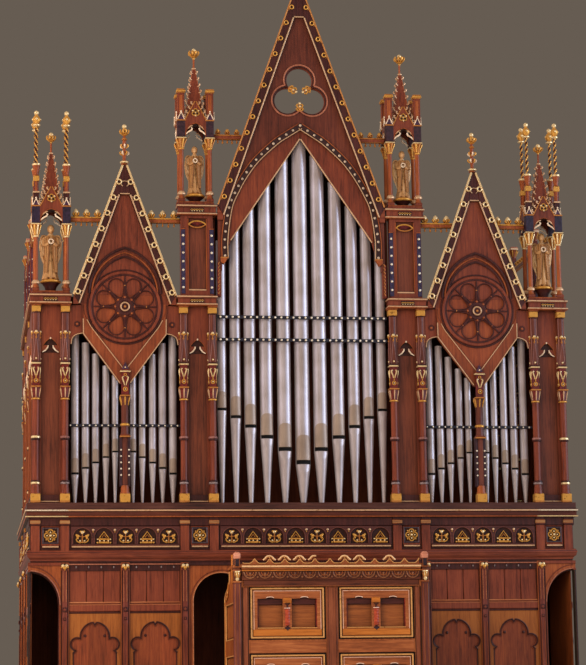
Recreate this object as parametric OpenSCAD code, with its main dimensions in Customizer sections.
// Gothic-revival pipe organ case with two inner towers, two outer towers,
// three gabled pipe fields and a free-standing panelled console case.
// Millimetres, +Z up, the front faces -Y, floor level at Z = 0.

/* [Main widths] */
// Distance from the middle plane to the outer colonnette axis
outer_col_x = 3120; // [3080:5:3140]
// Distance from the middle plane to the inner colonnette of the outer tower
outer_col2_x = 2785; // [2770:5:2800]
// Distance from the middle plane to the post in the middle of a side field
field_post_x = 2096; // [2090:1:2100]
// Distance from the middle plane to the outer colonnette of the inner tower
inner_col_x = 1412; // [1405:1:1420]
// Distance from the middle plane to the inner colonnette of the inner tower
inner_col2_x = 1073; // [1068:1:1080]
// Depth of the case from the front colonnettes to the back wall
case_depth = 3300; // [3000:20:3600]

/* [Main heights] */
// Height of the deck that the pipes stand on
deck_z = 2560; // [2550:5:2570]
// Underside of the tower cornices
tower_z = 4865; // [4850:5:4875]
// Top of the tower cornices
tower_top_z = 4985; // [4980:5:4990]
// Top of the inner towers' upper stage
stage_top_z = 6078; // [6070:2:6090]
// Top of the middle gable's crowning finial
top_z = 9450; // [9400:10:9600]

/* [Boards and posts] */
// Thickness of the side and back walls
wall_t = 40; // [30:5:60]
// Thickness of the gable boards
gable_t = 70; // [50:5:90]
// Radius of a colonnette
col_r = 42; // [34:1:46]

/* [Pipes] */
// Radius of the middle pipe
pipe_r_mid = 88; // [80:1:92]
// Radius of the outermost pipe in the middle field
pipe_r_end = 58; // [50:1:60]
// Radius of the largest pipe in a side field
side_pipe_r = 46; // [40:1:48]
// Radius of a pipe's toe, as a share of its body radius
toe_share = 0.42; // [0.2:0.01:0.6]

/* [Console] */
// Width of the console case
console_w = 2094; // [2060:2:2180]
// Depth of the console case
console_d = 920; // [860:20:980]
// Height of the console case up to its cornice
console_h = 1700; // [1680:5:1720]
// Distance from the case front to the console front
console_y = 1750; // [1650:10:1850]

/* [Hidden] */

// everything is drawn about the case front and moved so that the middle of
// the whole footprint is at the origin
console_front = console_y + 45;
back_face = case_depth + wall_t + 30;
y_shift = (console_front - back_face) / 2;
half_w = outer_col_x + 120;
wood = "#7a3a20";
wood_dark = "#4d2415";
gold = "#c99a3c";
tin = "#b9bcc4";
oak = "#8d4e28";

module P() translate([0, y_shift, 0]) children();
module both() { children(); mirror([1, 0, 0]) children(); }
// extrude an outline drawn in X and Z from y0 to y1
module slab(y0, y1) translate([0, y1, 0]) rotate([90, 0, 0]) linear_extrude(y1 - y0) children();
module box(x0, x1, y0, y1, z0, z1) translate([x0, y0, z0]) cube([x1 - x0, y1 - y0, z1 - z0]);
module rod(x, y, z0, z1, r) translate([x, y, z0]) cylinder(h = z1 - z0, r = r, $fn = 24);
module taper(x, y, z0, z1, r0, r1) translate([x, y, z0]) cylinder(h = z1 - z0, r1 = r0, r2 = r1, $fn = 24);
module ball(x, y, z, r) translate([x, y, z]) sphere(r = r, $fn = 24);
module block(x, y, z0, z1, s) box(x - s / 2, x + s / 2, y - s / 2, y + s / 2, z0, z1);

// pointed arch outline: half width w, springing at z0, apex at z1
function arch_r(w, h) = (w * w + h * h) / (2 * w);
function arch_pts(w, z0, z1, n = 14) = let (h = z1 - z0, R = arch_r(w, h), a1 = asin(h / R))
  concat([for (i = [0 : n]) let (a = a1 * i / n) [w - R + R * cos(a), z0 + R * sin(a)]],
         [for (i = [n - 1 : -1 : 0]) let (a = a1 * i / n) [-(w - R + R * cos(a)), z0 + R * sin(a)]]);

// ---- lower storey -------------------------------------------------------
low_top = 1880;
plinth_h = 160;
panel_y = 30;
pass_x = 991;
pass_r = 335;
pass_z = 1434;
corner_x0 = 2822;
corner_x1 = 3172;
corner_r = 243;
corner_z = 1560;

module low_post(x) {
  box(x - 42, x + 42, -34, 60, plinth_h, low_top);
  box(x - 42, x + 42, -50, 60, 0, plinth_h);
  box(x - 42, x + 42, -44, 60, 1800, low_top);
}

module lower_wall(x0, x1, mid) {
  // boarded wall with plinth, middle rail and frame
  difference() {
    box(x0, x1, 0, 60, 0, low_top);
    for (s = [[x0 + 60, mid - 50], [mid + 50, x1 - 60]]) {
      box(s[0], s[1], -1, 28, 1420, 1784);
      box(s[0], s[1], -1, 28, 260, 1296);
    }
  }
  box(x0 - 2, x1 + 2, -40, 1, 0, plinth_h);
}

module lower_wall_front_side() {
  lower_wall(inner_col_x + 0, outer_col2_x - 0, field_post_x);
  low_post(inner_col_x);
  low_post(field_post_x);
  low_post(outer_col2_x);
}
module lower_wall_front_right() color(wood) P() lower_wall_front_side();
module lower_wall_front_left() color(wood) P() mirror([1, 0, 0]) lower_wall_front_side();
module lower_wall_front_centre() color(wood) P() {
  lower_wall(-pass_x + pass_r - 1, pass_x - pass_r + 1, 0);
  low_post(0);
  low_post(pass_x - pass_r - 41);
  low_post(-pass_x + pass_r + 41);
}

// screen over a passage between the centre wall and the side wall
module passage_arch() {
  difference() {
    box(pass_x - pass_r + 1, inner_col_x - 42, 0, 90, 0, low_top);
    slab(-5, 95) translate([pass_x, pass_z]) circle(r = pass_r - 5, $fn = 64);
    box(pass_x - pass_r - 5, pass_x + pass_r - 5, -5, 95, -10, pass_z);
  }
}
module passage_arch_right() color(wood) P() passage_arch();
module passage_arch_left() color(wood) P() mirror([1, 0, 0]) passage_arch();

// screen with an open arch under each outer tower, with its corner post; the
// round head is a little past its top where it meets the post
module corner_arch() {
  difference() {
    box(outer_col2_x + 42, half_w - 40, -20, 60, 0, low_top);
    slab(-65, 95) intersection() {
      translate([corner_x0 + corner_r, corner_z]) circle(r = corner_r, $fn = 64);
      translate([corner_x0, corner_z]) square([corner_x1 - corner_x0, 300]);
    }
    box(corner_x0, corner_x1, -65, 95, plinth_h, corner_z + 1);
  }
  box(corner_x1, half_w - 36, -45, 60, 0, plinth_h);
  box(corner_x1 + 2, half_w - 40, -34, 60, plinth_h, 1500);
}
module corner_arch_right() color(wood) P() corner_arch();
module corner_arch_left() color(wood) P() mirror([1, 0, 0]) corner_arch();

module lower_wall_side() {
  difference() {
    box(half_w - 90, half_w - 50, 60, case_depth, 0, low_top);
    for (i = [0 : 2]) for (z = [[260, 1296], [1420, 1784]])
      box(half_w - 62, half_w, i * 1090 + 150, i * 1090 + 1010, z[0], z[1]);
  }
  for (i = [1 : 3]) box(half_w - 90, half_w - 38, i * 1090 - 50, min(i * 1090 + 50, case_depth), 0, low_top);
  box(half_w - 90, half_w - 36, 60, case_depth, 0, plinth_h);
}
module lower_wall_side_right() color(wood) P() lower_wall_side();
module lower_wall_side_left() color(wood) P() mirror([1, 0, 0]) lower_wall_side();

module lower_wall_back() color(wood_dark) P() {
  box(-half_w + 40, half_w - 40, case_depth, case_depth + wall_t, 0, low_top);
  for (i = [-3 : 3]) box(i * 1040 - 45, i * 1040 + 45, case_depth + wall_t - 1, case_depth + wall_t + 30, 0, low_top);
  box(-half_w + 40, half_w - 40, case_depth + wall_t - 1, case_depth + wall_t + 30, 0, plinth_h);
}

// ---- main cornice ---------------------------------------------------------
// profile of the cornice: [distance in front of the case front, height]
cor = [[0, low_top], [16, low_top], [24, 1912], [50, 1950], [58, 1992], [50, 2010], [40, 2020],
  [40, 2280], [56, 2300], [62, 2330], [62, 2392], [74, 2400], [80, 2470], [72, 2480],
  [64, 2490], [60, 2503], [60, deck_z], [0, deck_z]];
cor_x = half_w - 80;
module cornice_front() color(wood) P()
  translate([-half_w, 0, 0]) rotate([90, 0, 90]) linear_extrude(2 * half_w)
    polygon(concat([for (p = cor) [-p[0], p[1]]], [[60, deck_z], [60, low_top]]));
module cornice_side() {
  translate([cor_x, case_depth + wall_t, 0]) rotate([90, 0, 0]) linear_extrude(case_depth + wall_t - 60)
    polygon(concat([for (p = cor) [p[0], p[1]]], [[-40, deck_z], [-40, low_top]]));
}
module cornice_side_right() color(wood) P() cornice_side();
module cornice_side_left() color(wood) P() mirror([1, 0, 0]) cornice_side();
module cornice_back() color(wood_dark) P() {
  box(-cor_x + 40, cor_x - 40, case_depth, case_depth + wall_t, low_top, deck_z);
  box(-cor_x + 40, cor_x - 40, case_depth + wall_t - 1, case_depth + wall_t + 30, 2400, 2480);
}

module pipe_deck() color(wood_dark) P()
  box(-cor_x + 40, cor_x - 40, 60, case_depth, deck_z - 57, deck_z);

// ---- colonnettes and towers --------------------------------------------------
// colonnette with gold base and cap blocks, rings and a small gabled band
module colonnette(x, y = 0, z0 = deck_z, z1 = tower_z) {
  block(x, y, z0, z0 + 106, 112);
  taper(x, y, z0 + 105, z0 + 220, 54, col_r);
  rod(x, y, z0 + 215, z0 + 252, 52);
  rod(x, y, z0 + 250, z1 - 88, col_r);
  rod(x, y, z0 + 726, z0 + 770, 52);
  rod(x, y, z0 + 1195, z0 + 1225, 50);
  block(x, y, z0 + 1420, z0 + 1590, 92);
  block(x, y, z0 + 1650, z0 + 1880, 88);
  block(x, y, z1 - 89, z1 - 18, 100);
  block(x, y, z1 - 19, z1, 116);
}
module tower_cap(x0, x1, z0, z1, o = 60) {
  box(x0, x1, -o - 20, 120, z0, z0 + 26);
  box(x0 + 14, x1 - 14, -o, 120, z0 + 25, z1 - 24);
  box(x0, x1, -o - 20, 120, z1 - 25, z1);
}
module tower_outer() {
  xm = (outer_col_x + outer_col2_x) / 2;
  difference() {
    box(outer_col2_x - 30, outer_col_x + 45, 30, 95, deck_z, tower_z);
    slab(25, 65) translate([xm, 0]) polygon(concat([[104, deck_z + 90]], arch_pts(104, 4290, 4480), [[-104, deck_z + 90]]));
  }
  colonnette(outer_col_x);
  colonnette(outer_col2_x);
  tower_cap(outer_col2_x - 75, outer_col_x + 85, tower_z, tower_top_z);
}
module tower_outer_right() color(wood) P() tower_outer();
module tower_outer_left() color(wood) P() mirror([1, 0, 0]) tower_outer();

module tower_inner() {
  xm = (inner_col_x + inner_col2_x) / 2;
  difference() {
    box(inner_col2_x - 30, inner_col_x + 30, 30, 95, deck_z, tower_z);
    slab(25, 65) translate([xm, 0]) polygon(concat([[104, deck_z + 90]], arch_pts(104, 4290, 4480), [[-104, deck_z + 90]]));
  }
  colonnette(inner_col_x);
  colonnette(inner_col2_x);
  tower_cap(inner_col2_x - 62, inner_col_x + 82, tower_z, tower_top_z);
  // upper stage with a recessed panel between two strips
  difference() {
    box(inner_col2_x - 15, inner_col_x + 28, -36, 95, tower_top_z - 1, 5952);
    box(xm - 112, xm + 112, -40, 10, 5040, 5920);
  }
  tower_cap(inner_col2_x - 68, inner_col_x + 76, 5950, stage_top_z);
}
module tower_inner_right() color(wood) P() tower_inner();
module tower_inner_left() color(wood) P() mirror([1, 0, 0]) tower_inner();

module field_posts() color(wood) P() both() {
  block(field_post_x, 0, deck_z, deck_z + 106, 116);
  box(field_post_x - 68, field_post_x + 68, -30, 70, deck_z + 105, 3330);
  rod(field_post_x, 0, 3320, 3470, 56);
  rod(field_post_x, 0, 3465, 3820, 40);
  box(field_post_x - 48, field_post_x + 48, -80, 48, 3815, 3925);
  box(field_post_x - 48, field_post_x + 48, -80, -36, 3924, 4080);
  box(field_post_x - 68, field_post_x + 68, -92, -36, 4075, 4140);
}

// ---- pipes ----------------------------------------------------------------
// mouth height and top of each pipe
centre_n = 5;
centre_x = [0, 214, 425, 617, 790, 954];
centre_mouth = [3045, 3199, 3343, 3468, 3578, 3668];
centre_top = [6905, 6740, 6420, 6130, 5860, 5680];
side_dx = [104, 211, 330, 446, 567];
side_mouth = [3166, 3102, 3039, 2976, 2911];
side_top = [4060, 4170, 4310, 4440, 4590];
pipe_y = 130;
module pipe(x, r, mouth, top) {
  taper(x, pipe_y, deck_z, mouth, r * toe_share, r);
  rod(x, pipe_y, mouth - 0.5, top, r);
}
module pipes_centre() color(tin) P() {
  pipe(0, pipe_r_mid, centre_mouth[0], centre_top[0]);
  for (i = [1 : centre_n]) both()
    pipe(centre_x[i], pipe_r_mid + (pipe_r_end - pipe_r_mid) * i / centre_n, centre_mouth[i], centre_top[i]);
}
module pipes_side() for (i = [0 : 4]) for (s = [-1, 1])
  pipe(field_post_x + s * side_dx[i], side_pipe_r - 2 * (4 - i), side_mouth[i], side_top[i]);
module pipes_right() color(tin) P() pipes_side();
module pipes_left() color(tin) P() mirror([1, 0, 0]) pipes_side();

module pipe_stays() color("#1d1d2b") P() {
  for (z = [4478, 4747]) box(-1010, 1010, -6, 20, z - 22, z + 22);
  both() box(inner_col_x + 30, outer_col2_x - 30, 62, 80, 3446, 3486);
}

// ---- gables ---------------------------------------------------------------
side_apex = 6540;
side_half = 602;
module gable_side() {
  // steep gable board over the field, pointed below towards the post
  slab(-35, -35 + gable_t) translate([field_post_x, 0]) polygon([
    [-side_half, tower_top_z], [-24, side_apex], [24, side_apex], [side_half, tower_top_z],
    [side_half - 66, 4880], [498, 4870], [478, 4520], [60, 3950], [0, 3925], [-60, 3950], [-478, 4520],
    [-498, 4870], [-side_half + 66, 4880]]);
  // small curved spandrels over the outermost pipes
  for (s = [-1, 1]) slab(-4, 34) translate([field_post_x, 0]) polygon([
    [s * 470, 4862], [s * 618, 4862], [s * 618, 4418], [s * 600, 4482], [s * 552, 4518], [s * 470, 4532]]);
  // raised rose ring and hub
  slab(-52, -34) translate([field_post_x, 4844]) difference() {
    circle(r = 424, $fn = 64);
    circle(r = 380, $fn = 64);
  }
  slab(-70, -34) translate([field_post_x, 4844]) circle(r = 70, $fn = 32);
  // raised rake mouldings
  for (s = [-1, 1]) slab(-62, -34) translate([field_post_x, 0]) polygon([
    [s * side_half, tower_top_z], [s * 24, side_apex], [0, side_apex], [0, side_apex - 200], [s * (side_half - 72), 4900]]);
}
module gable_right() color(wood) P() gable_side();
module gable_left() color(wood) P() mirror([1, 0, 0]) gable_side();

mid_apex = 8800;
mid_half = 1004;
module gable_centre() color(wood) P() {
  slab(-35, -35 + gable_t) difference() {
    polygon([[-mid_half, stage_top_z], [-29, mid_apex], [29, mid_apex], [mid_half, stage_top_z],
      [mid_half, 4985], [-mid_half, 4985]]);
    // opening over the pipes with straight upper edges
    polygon([[-962, 4900], [-962, 5300], [-905, 5600], [-845, 5662], [0, 6913], [845, 5662], [905, 5600], [962, 5300], [962, 4900]]);
    // trefoil: three lobes that meet round an open middle
    translate([0, 7632]) circle(r = 152, $fn = 48);
    for (s = [-1, 1]) translate([s * 148, 7378]) circle(r = 152, $fn = 48);
    translate([0, 7463]) circle(r = 60, $fn = 48);
  }
  for (s = [-1, 1]) slab(-64, -34) polygon([
    [s * mid_half, stage_top_z], [s * 29, mid_apex], [0, mid_apex], [0, mid_apex - 230], [s * (mid_half - 72), 5960]]);
}

module finial(x, y, z, s) {
  rod(x, y, z, z + 60 * s, 44 * s);
  taper(x, y, z + 59 * s, z + 190 * s, 22 * s, 34 * s);
  rod(x, y, z + 188 * s, z + 290 * s, 30 * s);
  block(x, y, z + 285 * s, z + 330 * s, 110 * s);
  taper(x, y, z + 328 * s, z + 430 * s, 26 * s, 40 * s);
  ball(x, y, z + 462 * s, 46 * s);
}
module gable_finials() color(gold) P() {
  both() finial(field_post_x, 0, side_apex, 1);
  finial(0, 0, mid_apex, (top_z - mid_apex) / 508);
}

// ---- upper walls and roofs -------------------------------------------------
side_col_x = 3130;
module flank() {
  difference() {
    box(3125, 3165, 95, case_depth, deck_z, tower_z);
    for (i = [0 : 2]) box(3153, half_w, i * 1090 + 150, i * 1090 + 1010, deck_z + 90, 4400);
  }
  for (i = [1 : 3]) {
    y = min(i * 1090, case_depth - 56);
    block(side_col_x, y, deck_z, deck_z + 106, 112);
    rod(side_col_x, y, deck_z + 105, tower_z - 88, col_r);
    block(side_col_x, y, tower_z - 89, tower_z, 112);
    // short post with a cap above the cornice
    block(side_col_x, y, tower_top_z - 1, 5960, 66);
    taper(side_col_x, y, 5959, 6060, 33, 56);
    block(side_col_x, y, 6059, 6100, 104);
  }
  box(3118, 3205, 121, case_depth, tower_z, tower_top_z);
  // crest rail between the posts
  box(side_col_x - 30, side_col_x + 30, 295, case_depth - 56, 5760, 5822);
  for (y = [400 : 110 : case_depth - 150]) if (abs((y - 1090) % 1090) > 90) {
    rod(side_col_x, y, 5821, 5845, 14);
    ball(side_col_x, y, 5862, 26);
  }
}
module flank_right() color(wood) P() flank();
module flank_left() color(wood) P() mirror([1, 0, 0]) flank();

module back_wall() color(wood_dark) P() {
  box(-3165, 3165, case_depth, case_depth + wall_t, deck_z, tower_top_z);
  for (i = [-3 : 3]) box(i * 1000 - 45, i * 1000 + 45, case_depth + wall_t - 1, case_depth + wall_t + 30, deck_z, tower_top_z);
}
module roof_side() box(1000, 3118, 121, case_depth, tower_top_z - 50, tower_top_z);
module roof_right() color(wood_dark) P() roof_side();
module roof_left() color(wood_dark) P() mirror([1, 0, 0]) roof_side();

box_x = 1020;
box_z = 5952;
module centre_box_side() box(box_x, box_x + 38, 121, case_depth, tower_top_z, box_z);
module centre_box_right() color(wood_dark) P() centre_box_side();
module centre_box_left() color(wood_dark) P() mirror([1, 0, 0]) centre_box_side();
module centre_box_back() color(wood_dark) P() slab(case_depth, case_depth + wall_t)
  polygon([[-box_x - 38, tower_top_z], [-box_x - 38, box_z], [0, 7150], [box_x + 38, box_z], [box_x + 38, tower_top_z]]);
module centre_roof() color(wood_dark) P() slab(121, case_depth)
  polygon([[-box_x - 38, box_z], [0, 7150], [box_x + 38, box_z], [box_x, box_z], [0, 7105], [-box_x, box_z]]);

// ---- niches ---------------------------------------------------------------
// open canopied niche on two columns with a spire; base height z, size s
module niche(x0, x1, z, shaft, cap, top) {
  xm = (x0 + x1) / 2;
  w = (x1 - x0) / 2;
  // pedestal
  box(x0 - 45, x1 + 45, -45, 290, z, z + 40);
  box(xm - 105, xm + 105, 0, 240, z + 39, z + 140);
  for (x = [x0, x1]) for (y = [0, 245]) {
    rod(x, y, z + 39, shaft + 1, 28);
    taper(x, y, shaft, cap, 28, 55);
  }
  // arched canopy
  difference() {
    box(x0 - 50, x1 + 50, -50, 295, cap - 1, cap + 230);
    slab(-55, 300) translate([xm, 0]) polygon(arch_pts(w - 28, cap - 10, cap + 165));
    box(x0 - 55, x1 + 55, 28, 217, cap - 10, cap + 150);
  }
  // middle spire
  translate([xm, 122, cap + 229]) rotate([0, 0, 45]) cylinder(h = top - cap - 229 - 160, r1 = 150, r2 = 16, $fn = 4);
  rod(xm, 122, top - 220, top - 120, 14);
  block(xm, 122, top - 125, top - 80, 100);
  ball(xm, 122, top - 40, 40);
}
module niche_inner() {
  x0 = 1086;
  x1 = 1423;
  niche(x0, x1, stage_top_z, 6750, 6895, 7985);
  // four square corner turrets with flat tops
  for (x = [x0 - 4, x1 + 4]) for (y = [0, 245]) {
    block(x, y, 7120, 7440, 84);
    block(x, y, 7439, 7480, 108);
  }
}
module niche_outer() {
  x0 = 2775;
  x1 = 3128;
  niche(x0, x1, tower_top_z, 5660, 5822, 6905);
  // four slender corner pinnacles
  for (x = [x0, x1]) for (y = [0, 245]) {
    block(x, y, 6045, 6190, 70);
    rod(x, y, 6185, 6400, 30);
    block(x, y, 6395, 6520, 66);
    rod(x, y, 6515, 6990, 24);
    block(x, y, 6985, 7030, 90);
    taper(x, y, 7025, 7120, 20, 36);
    ball(x, y, 7150, 38);
  }
}
module niche_outer_right() color(wood) P() niche_outer();
module niche_outer_left() color(wood) P() mirror([1, 0, 0]) niche_outer();
module niche_inner_right() color(wood) P() niche_inner();
module niche_inner_left() color(wood) P() mirror([1, 0, 0]) niche_inner();

module statue(x, z, h) translate([x, 122, z]) {
  cylinder(h = 0.78 * h, r1 = 88, r2 = 62, $fn = 24);
  translate([0, 0, 0.775 * h]) cylinder(h = 0.08 * h, r1 = 62, r2 = 24, $fn = 24);
  translate([0, -4, 0.915 * h]) sphere(r = 0.085 * h, $fn = 24);
}
module statues() color(gold) P() both() {
  statue(2951.5, tower_top_z + 140, 700);
  statue(1254.5, stage_top_z + 140, 590);
}

// ---- crest beams ------------------------------------------------------------
module crest_beam(x0, x1, z) {
  y0 = 35;
  box(x0, x1, y0, y0 + 70, z, z + 62);
  n = max(2, round((x1 - x0) / 105));
  for (i = [0 : n - 1]) let (x = x0 + (i + 0.5) * (x1 - x0) / n) {
    rod(x, y0 + 35, z + 61, z + 85, 14);
    ball(x, y0 + 35, z + 104, 26);
  }
}
module crest_beams() color(gold) P() both() {
  crest_beam(2338, 2725, 5868);
  crest_beam(inner_col_x + 28, 1850, 5868);
  crest_beam(690, 1036, 6900);
}

// ---- console ----------------------------------------------------------------
// outline of an end: shallow above, flared to its full depth below
con_end = concat([[0, 0], [0, console_h], [470, console_h], [470, 1590]],
  [for (i = [0 : 8]) let (t = i / 8) [470 + (console_d - 470) * (1 - cos(180 * t)) / 2, 1590 - 190 * t]],
  [[console_d, 0]]);
module console_case() color(oak) P() translate([0, -console_y, 0]) {
  w = console_w / 2;
  difference() {
    translate([-w, 0, 0]) rotate([90, 0, 90]) linear_extrude(2 * w) polygon(con_end);
    // two rows of two sunk panels in front
    for (s = [[-893, -75], [75, 893]]) for (z = [[940, 1486], [215, 772]])
      box(s[0], s[1], -1, 40, z[0], z[1]);
    // sunk panels at each end
    for (x = [-w - 1, w - 20]) for (z = [[945, 1360], [215, 765]])
      box(x, x + 21, 110, console_d - 110, z[0], z[1]);
  }
  box(-w - 20, w + 20, -25, console_d + 20, 0, 120);
}
module console_crest() color(oak) P() translate([0, -console_y, 0]) {
  w = console_w / 2;
  box(-w - 36, w + 36, -45, 506, console_h, console_h + 26);
  box(-w, w, -30, 490, console_h + 25, console_h + 40);
  for (i = [-5 : 5]) slab(-10, 30) translate([i * 164, console_h + 39])
    polygon([[-82, 0], [-70, 14], [0, 58], [70, 14], [82, 0]]);
  for (s = [-1, 1]) box(s * (w - 20) - 45, s * (w - 20) + 45, -42, 46, console_h + 24, console_h + 165);
}

lower_wall_front_left();
lower_wall_front_right();
lower_wall_front_centre();
passage_arch_left();
passage_arch_right();
corner_arch_left();
corner_arch_right();
lower_wall_side_left();
lower_wall_side_right();
lower_wall_back();
cornice_front();
cornice_side_left();
cornice_side_right();
cornice_back();
pipe_deck();
tower_outer_left();
tower_outer_right();
tower_inner_left();
tower_inner_right();
field_posts();
pipes_left();
pipes_right();
pipes_centre();
pipe_stays();
gable_left();
gable_right();
gable_centre();
gable_finials();
flank_left();
flank_right();
back_wall();
roof_left();
roof_right();
centre_box_left();
centre_box_right();
centre_box_back();
centre_roof();
niche_outer_left();
niche_outer_right();
niche_inner_left();
niche_inner_right();
statues();
crest_beams();
console_case();
console_crest();
